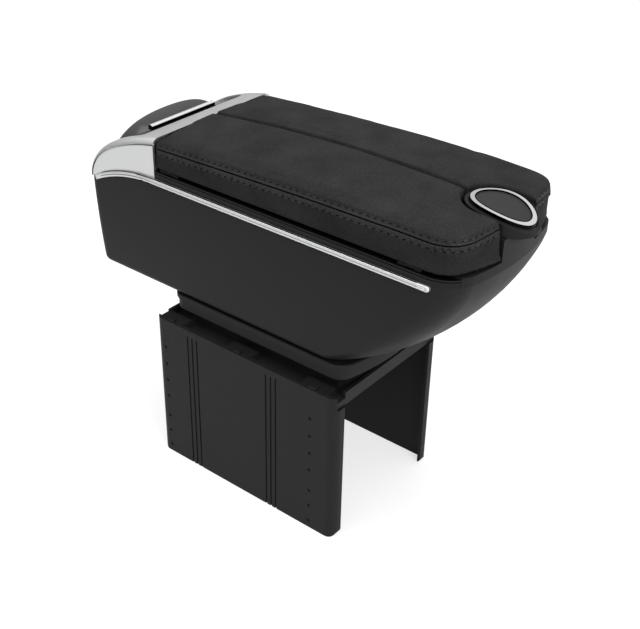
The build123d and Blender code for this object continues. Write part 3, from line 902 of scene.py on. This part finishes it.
@dataclass
class PaddedDoor:
    """One leather-covered door, stuffed by a cloth simulation."""

    side: Side
    weld: float = 0.005 * MM
    voxel: float = 1.9 * MM
    shrink: float = 0.7 * MM
    sink_cap: float = 1.2 * MM
    swell_cap: float = 0.25 * MM
    pressure: float = 4.0
    stretch: float = 40.0
    bending: float = 8.0
    frames: int = 20
    hem: float = 2.5 * MM
    lumps: float = 0.2 * MM
    lump_size: float = 40.0 * MM
    smooth_factor: float = 0.5
    smooth_rounds: int = 4
    flat_share: float = 0.4
    crown: float = 4.0 * MM
    shoulder: float = 3.2 * MM
    shoulder_w: float = 9.0 * MM

    def build(self) -> None:
        """Make the pad and its sewn edge, and dress the plate."""
        paint(f"lid_{self.side.word}_base", PLATE_SHADE_BLACK)
        pad = self.cushion()
        SewnEdge(self.side, pad).build()

    def cushion(self) -> bpy.types.Object:
        """Make the stuffed pad in the CAD pad's space.

        Returns:
            The pad's object, riding on the door.
        """
        obj = self.blank()
        floor_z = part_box(f"lid_{self.side.word}_pad")[0].z
        self.stuff(obj, floor_z)
        self.ease(obj)
        self.bow(obj, floor_z)
        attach(obj, self.side.body)
        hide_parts(f"lid_{self.side.word}_pad")
        log.info("padded %s with %d faces", obj.name, len(obj.data.polygons))
        return obj

    def blank(self) -> bpy.types.Object:
        """Make the door's block with its plate filled in.

        Returns:
            The block as an even grid of small faces.
        """
        mesh = bmesh.new()
        for piece in ("pad", "base"):
            mesh.from_mesh(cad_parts[f"lid_{self.side.word}_{piece}"].data)
        bmesh.ops.remove_doubles(mesh, verts=mesh.verts, dist=self.weld)
        obj = add_mesh(f"lid_{self.side.word}_cover", mesh, CHARCOAL_LEATHER)
        remesh = obj.modifiers.new("even_grid", "REMESH")
        remesh.mode = "VOXEL"
        remesh.voxel_size = self.voxel
        obj.data = baked(obj)
        obj.modifiers.clear()
        return obj

    def stuff(self, obj: bpy.types.Object, floor_z: float) -> None:
        """Swell the pad from a slightly smaller shape, within a cap.

        Args:
            obj: the pad's block.
            floor_z: the height of the pad's underside.
        """
        form = points_of(obj.data)
        form[:, 2] = np.maximum(form[:, 2], floor_z)
        move_points(obj.data, form)
        outward = normals_of(obj.data)
        held = form[:, 2] < floor_z + self.hem
        start = np.where(held[:, None], form, form - outward * self.shrink)
        move_points(obj.data, start)
        self.inflate(obj, held)
        swelled = points_of(obj.data)
        out = np.clip(((swelled - form) * outward).sum(1), -self.sink_cap, self.swell_cap)
        out += self.lumps * np.array([noise.noise(Vector(point) / self.lump_size) for point in form])
        move_points(obj.data, np.where(held[:, None], form, form + outward * out[:, None]))

    def inflate(self, obj: bpy.types.Object, held: np.ndarray) -> None:
        """Swell the pad as cloth under pressure.

        Args:
            obj: the pad, shrunk a little.
            held: which vertices the door's plate holds.
        """
        pins = obj.vertex_groups.new(name="held")
        pins.add([int(i) for i in np.flatnonzero(held)], 1.0, "REPLACE")
        cloth = obj.modifiers.new("stuffing", "CLOTH")
        cloth.settings.vertex_group_mass = "held"
        cloth.settings.use_pressure = True
        cloth.settings.uniform_pressure_force = self.pressure
        cloth.settings.tension_stiffness = self.stretch
        cloth.settings.compression_stiffness = self.stretch
        cloth.settings.bending_stiffness = self.bending
        cloth.settings.effector_weights.gravity = 0.0
        cloth.point_cache.frame_end = self.frames
        for step in range(1, self.frames + 1):
            bpy.context.scene.frame_set(step)
        obj.data = baked(obj)
        obj.modifiers.clear()
        obj.vertex_groups.clear()
        bpy.context.scene.frame_set(1)

    def ease(self, obj: bpy.types.Object) -> None:
        """Even the pad's faces out and subdivide them once.

        Args:
            obj: the swelled pad.
        """
        even = obj.modifiers.new("even", "SMOOTH")
        even.factor = self.smooth_factor
        even.iterations = self.smooth_rounds
        finer = obj.modifiers.new("finer", "SUBSURF")
        finer.levels = 1
        obj.data = baked(obj)
        obj.modifiers.clear()

    def bow(self, obj: bpy.types.Object, floor_z: float) -> None:
        """Flatten the pad's underside and crown its top lengthwise, less at the outer shoulder.

        Args:
            obj: the eased pad.
            floor_z: the height of the pad's underside.
        """
        points = points_of(obj.data)
        low = points[:, 2] < floor_z + self.flat_share * self.voxel
        points[:, 2] = np.where(low, floor_z, points[:, 2])
        rise = (points[:, 2] - floor_z) / (points[:, 2].max() - floor_z)
        along = (points[:, 0] - points[:, 0].min()) / np.ptp(points[:, 0])
        inward = np.abs(points[:, 1]).max() - np.abs(points[:, 1])
        fall = self.shoulder * np.clip(1.0 - inward / self.shoulder_w, 0.0, 1.0) ** 2
        arch = 4.0 * along * (1.0 - along)
        points[:, 2] += arch * rise * (self.crown - fall)
        move_points(obj.data, points)


@dataclass
class SewnEdge:
    """The sewn outer edge of a door: a fold, gathers beside it and two rows of stitches."""

    side: Side
    pad: bpy.types.Object
    step: float = 0.5 * MM
    reach: float = 7.0 * MM
    nose_x: float = 169.8 * MM
    nose_r: float = 463.0 * MM
    corner_r: float = 24.2 * MM
    notch_half_w: float = 22.5 * MM
    end_gap: float = 1.2 * MM
    seam_angle: float = math.radians(4.0)
    fan_low: float = -50.0
    fan_high: float = 105.0
    fan_rays: int = 32
    ray_start: float = 30.0 * MM
    blur: int = 6
    rungs: tuple[float, ...] = (
        0.0, 0.12, 0.25, 0.42, 0.62, 0.9, 1.2, 1.55, 1.95,
        2.4, 2.85, 3.3, 3.6, 3.9, 4.2, 4.55, 5.0,
    )
    side_rungs: tuple[float, ...] = (5.5, 6.0)
    fold_depth: float = 1.1 * MM
    fold_w: float = 0.5 * MM
    roll_h: float = 0.5 * MM
    roll_at: float = 0.95 * MM
    roll_w: float = 0.65 * MM
    fold_shadow_r: float = 0.5 * MM
    fold_shadow_every: int = 3
    top_row: float = -3.3 * MM
    side_row: float = 3.9 * MM
    channel_depth: float = 0.26 * MM
    channel_w: float = 0.6 * MM
    top_channel: float = 0.5
    swell_h: float = 0.14 * MM
    lift: float = 0.06 * MM
    edge_drop: float = 0.5 * MM
    edge_drop_w: float = 1.2 * MM
    gather_h: float = 0.85 * MM
    gather_l: float = 1.7 * MM
    gather_stretch: float = 0.25
    gather_seed: float = 9.0
    gather_from: float = 0.5 * MM
    gather_ramp: float = 1.0 * MM
    gather_fade: float = 1.6 * MM
    top_gather: float = 0.3
    corner_gather: float = 1.2
    pucker_h: float = 0.4 * MM
    stitch_pitch: float = 6.0 * MM
    stitch_l: float = 3.2 * MM
    stitch_shares: tuple[float, ...] = (-0.5, -0.35, 0.0, 0.35, 0.5)
    stitch_tip: float = 0.45
    stitch_rise: float = 0.45
    stitch_dip: float = 3.2
    top_stitch_r: float = 0.3 * MM
    side_stitch_r: float = 0.42 * MM
    bed: float = 1.6 * MM
    bed_ramp: float = 1.0 * MM
    bed_reach: float = 1.0 * MM
    margin: float = 0.8 * MM
    band_edge_t: float = 1.0 * MM
    band_middle_t: float = 2.4 * MM

    def build(self) -> None:
        """Lay the sewn band on the pad, with the fold's shadow and the stitches."""
        spots, normals, turning = self.trace()
        self.make_bed(spots, normals)
        raised = spots + normals * self.relief(spots, turning)[:, :, None]
        self.band(raised, normals)
        middle = int(np.argmin(np.abs(self.ladder())))
        # Painted shadow: a near-black tube sunk in the fold.
        sunk = spots[:, middle] - normals[:, middle] * (self.fold_depth / 2)
        path = [Vector(point) for point in sunk[:: self.fold_shadow_every]]
        self.settle(tube(f"lid_{self.side.word}_fold", path, self.fold_shadow_r, GAP_SHADE))
        self.stitches(raised, normals)

    @property
    def stitch_every(self) -> int:
        """How many rows of the grid lie from one stitch to the next."""
        return round(self.stitch_pitch / self.step)

    def ladder(self) -> np.ndarray:
        """Distances across the band from the seam, up the top below 0 and down the side above 0."""
        half = np.array(self.rungs)
        return np.concatenate([-half[:0:-1], half, self.side_rungs]) * MM

    def settle(self, obj: bpy.types.Object) -> None:
        """Let a sewn piece ride on the door as part of its cover.

        Args:
            obj: the sewn piece.
        """
        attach(obj, self.side.body)
        log.info("sewed %s", obj.name)

    def outline(self) -> list[tuple[Vector, Vector]]:
        """Follow the door's outer edge in plan, from its rear end to the button's notch.

        Returns:
            Points along the edge, each with its way out.
        """
        low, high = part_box(f"lid_{self.side.word}_pad")
        half_w = max(abs(low.y), abs(high.y))
        sign = self.side.value
        centre_x = self.nose_x - self.nose_r
        corner_y = half_w - self.corner_r
        corner_x = centre_x + math.sqrt((self.nose_r - self.corner_r) ** 2 - corner_y**2)
        turn = math.atan2(corner_y, corner_x - centre_x)
        found = []
        for x in np.arange(low.x + self.end_gap, corner_x, self.step):
            found.append((Vector((x, sign * half_w, 0.0)), Vector((0.0, sign, 0.0))))
        for angle in np.arange(math.pi / 2, turn, -self.step / self.corner_r):
            way = Vector((math.cos(angle), sign * math.sin(angle), 0.0))
            found.append((Vector((corner_x, sign * corner_y, 0.0)) + way * self.corner_r, way))
        last = math.asin((self.notch_half_w + self.end_gap) / self.nose_r)
        for angle in np.arange(turn, last, -self.step / self.nose_r):
            way = Vector((math.cos(angle), sign * math.sin(angle), 0.0))
            found.append((Vector((centre_x, 0.0, 0.0)) + way * self.nose_r, way))
        return found

    def trace(self) -> tuple[np.ndarray, np.ndarray, np.ndarray]:
        """Feel the pad's edge out by fans of rays.

        Returns:
            Points and normals on a grid along and across the edge, and how much each row turns.
        """
        tree = tree_of(self.pad.data)
        block = tree_of(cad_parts[f"lid_{self.side.word}_pad"].data)
        spread = np.radians(np.linspace(self.fan_low, self.fan_high, self.fan_rays))
        fan = np.sort(np.append(spread, self.seam_angle))
        rows, ways = [], []
        for edge, way in self.outline():
            inner = edge - way * self.reach
            top = block.ray_cast(Vector((inner.x, inner.y, OVERHEAD)), -UP)[0]
            hub = top - UP * self.reach
            aims = [way * math.cos(angle) + UP * math.sin(angle) for angle in fan]
            hits = [tree.ray_cast(hub + aim * self.ray_start, -aim)[:2] for aim in aims]
            rows.append([[*spot, *normal] for spot, normal in hits])
            ways.append(math.atan2(way.y, way.x))
        rows = self.even_out(np.array(rows))
        seam = int(np.searchsorted(fan, self.seam_angle))
        grid = np.array([self.across(row, seam) for row in rows])
        normals = grid[:, :, 3:] / np.linalg.norm(grid[:, :, 3:], axis=2, keepdims=True)
        turning = np.abs(np.gradient(np.unwrap(ways))) / self.step * self.corner_r
        return grid[:, :, :3], normals, np.clip(turning, 0.0, 1.0)

    def even_out(self, rows: np.ndarray) -> np.ndarray:
        """Average each row with its neighbours along the edge.

        Args:
            rows: points and normals, row by row.

        Returns:
            The averaged rows, as many as before.
        """
        window = 2 * self.blur + 1
        weights = np.ones(window) / window
        padded = np.pad(rows, ((self.blur, self.blur), (0, 0), (0, 0)), mode="edge")
        return np.apply_along_axis(lambda line: np.convolve(line, weights, mode="valid"), 0, padded)

    def across(self, row: np.ndarray, seam: int) -> np.ndarray:
        """Set one row out at the ladder's distances from the seam.

        Args:
            row: the row's points and normals, from below to the top.
            seam: the seam's place in the row.

        Returns:
            The points and normals at the ladder's rungs.
        """
        walked = np.append(0.0, np.cumsum(np.linalg.norm(np.diff(row[:, :3], axis=0), axis=1)))
        down = walked[seam] - walked
        columns = [np.interp(self.ladder(), down[::-1], row[::-1, k]) for k in range(row.shape[1])]
        return np.stack(columns, axis=1)

    def make_bed(self, spots: np.ndarray, normals: np.ndarray) -> None:
        """Sink the pad's skin below the band, so that the band is what shows there.

        Args:
            spots: the band's grid of points on the skin.
            normals: the ways out there.
        """
        u = self.ladder()
        inside = np.minimum(u - self.top_row, self.side_row - u) + self.margin
        depths = self.bed * np.clip(inside / self.bed_ramp, 0.0, 1.0)
        flat = spots.reshape(-1, 3)
        tree = KDTree(len(flat))
        for k, spot in enumerate(flat):
            tree.insert(spot, k)
        tree.balance()
        points = points_of(self.pad.data)
        for k, point in enumerate(points):
            nearest, distance = tree.find(point)[1:]
            if distance < self.bed_reach:
                row, rung = divmod(nearest, len(u))
                points[k] = point - normals[row, rung] * depths[rung]
        move_points(self.pad.data, points)

    def profile(self) -> tuple[np.ndarray, np.ndarray, np.ndarray]:
        """Work out what is the same all along the band.

        Returns:
            For each rung its height, its share in the stitch channels and the strength of its gathers.
        """
        u = self.ladder()
        top_channel = np.exp(-(((u - self.top_row) / self.channel_w) ** 2))
        side_channel = np.exp(-(((u - self.side_row) / self.channel_w) ** 2))
        channels = self.top_channel * top_channel + side_channel
        outside = np.maximum(self.top_row - u, u - self.side_row) - 0.5 * self.margin
        height = self.roll_h * np.exp(-(((np.abs(u) - self.roll_at) / self.roll_w) ** 2))
        height -= self.fold_depth * np.exp(-((u / self.fold_w) ** 2))
        height -= self.channel_depth * channels
        height += self.swell_h * np.sin(np.pi * np.clip(u / self.side_row, 0.0, 1.0))
        height += self.lift - self.edge_drop * np.clip(outside / self.edge_drop_w, 0.0, 1.0)
        strength = np.where(u > 0, 1.0, self.top_gather)
        strength *= np.clip((np.abs(u) - self.gather_from) / self.gather_ramp, 0.0, 1.0)
        strength *= np.clip(-outside / self.gather_fade, 0.0, 1.0)
        return height, channels, strength

    def relief(self, spots: np.ndarray, turning: np.ndarray) -> np.ndarray:
        """Heights of the band over the pad: fold, rolls, gathers and stitch channels.

        Args:
            spots: the grid's points.
            turning: 1 where the edge goes round a corner.

        Returns:
            One height for each point of the grid.
        """
        height, channels, strength = self.profile()
        places = [self.gather_stretch * distance / self.gather_l for distance in self.ladder()]
        seed = self.side.value * self.gather_seed
        heights = np.empty(spots.shape[:2])
        for k in range(len(spots)):
            along = k * self.step / self.gather_l
            lumps = np.array([noise.noise(Vector((along, place, seed))) for place in places])
            heights[k] = height + self.gather_h * (1.0 + self.corner_gather * turning[k]) * strength * lumps
            between = 0.5 - 0.5 * math.cos(2.0 * math.pi * k / self.stitch_every)
            heights[k] += self.pucker_h * between * channels
        return heights

    def band(self, raised: np.ndarray, normals: np.ndarray) -> None:
        """Build the sewn band as a closed strip that sits in the pad's skin.

        Args:
            raised: its upper points.
            normals: the ways out there.
        """
        mesh = bmesh.new()
        middle = raised.shape[1] // 2
        rings = []
        for row, out in zip(raised, normals):
            under = [
                row[-1] - out[-1] * self.band_edge_t,
                row[middle] - out[middle] * self.band_middle_t,
                row[0] - out[0] * self.band_edge_t,
            ]
            rings.append([mesh.verts.new(point) for point in [*row, *under]])
        skin_rings(mesh, rings, False)
        self.settle(add_mesh(f"lid_{self.side.word}_band", mesh, ROLLED_LEATHER))

    def stitches(self, raised: np.ndarray, normals: np.ndarray) -> None:
        """Sew two rows of stitches, one on the top and one on the side.

        Args:
            raised: the band's upper points.
            normals: the ways out there.
        """
        mesh = bmesh.new()
        every = self.stitch_every
        reach = round(self.stitch_l / self.step / 2)
        for row, radius in ((self.top_row, self.top_stitch_r), (self.side_row, self.side_stitch_r)):
            rung = int(np.argmin(np.abs(self.ladder() - row)))
            for k in range(every, len(raised) - every, every):
                ahead = Vector(raised[k + reach, rung] - raised[k - reach, rung])
                self.one_stitch(mesh, Vector(raised[k, rung]), Vector(normals[k, rung]), ahead, radius)
        self.settle(add_mesh(f"lid_{self.side.word}_stitches", mesh, BLACK_THREAD))

    def one_stitch(
        self, mesh: bmesh.types.BMesh, seat: Vector, normal: Vector, ahead: Vector, thread_r: float
    ) -> None:
        """Add one thread loop that dips into the leather at both ends.

        Args:
            mesh: the mesh that takes the stitch.
            seat: its middle on the leather.
            normal: the leather's way out.
            ahead: the stitch's run, as long as the stitch.
            thread_r: the thread's radius.
        """
        across = ahead.cross(normal).normalized()
        tips = (self.stitch_shares[0], self.stitch_shares[-1])
        rings = []
        for share in self.stitch_shares:
            radius = thread_r * (self.stitch_tip if share in tips else 1.0)
            lift = self.stitch_rise - self.stitch_dip * share**2
            middle = seat + ahead * share + normal * thread_r * lift
            rings.append(add_ring(mesh, middle, across, normal, radius))
        skin_rings(mesh, rings, False)


def main() -> None:
    """Build the studio and each sub-assembly."""
    logging.basicConfig(level=logging.INFO, format="%(message)s")
    bpy.context.scene.view_settings.view_transform = "Standard"
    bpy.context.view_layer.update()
    Studio().build()
    for assembly in (SaddleBracket(), StorageBox(), ReleaseButton(), RearHood()):
        assembly.build()
    for side in Side:
        PaddedDoor(side).build()


if __name__ == "__main__":
    main()
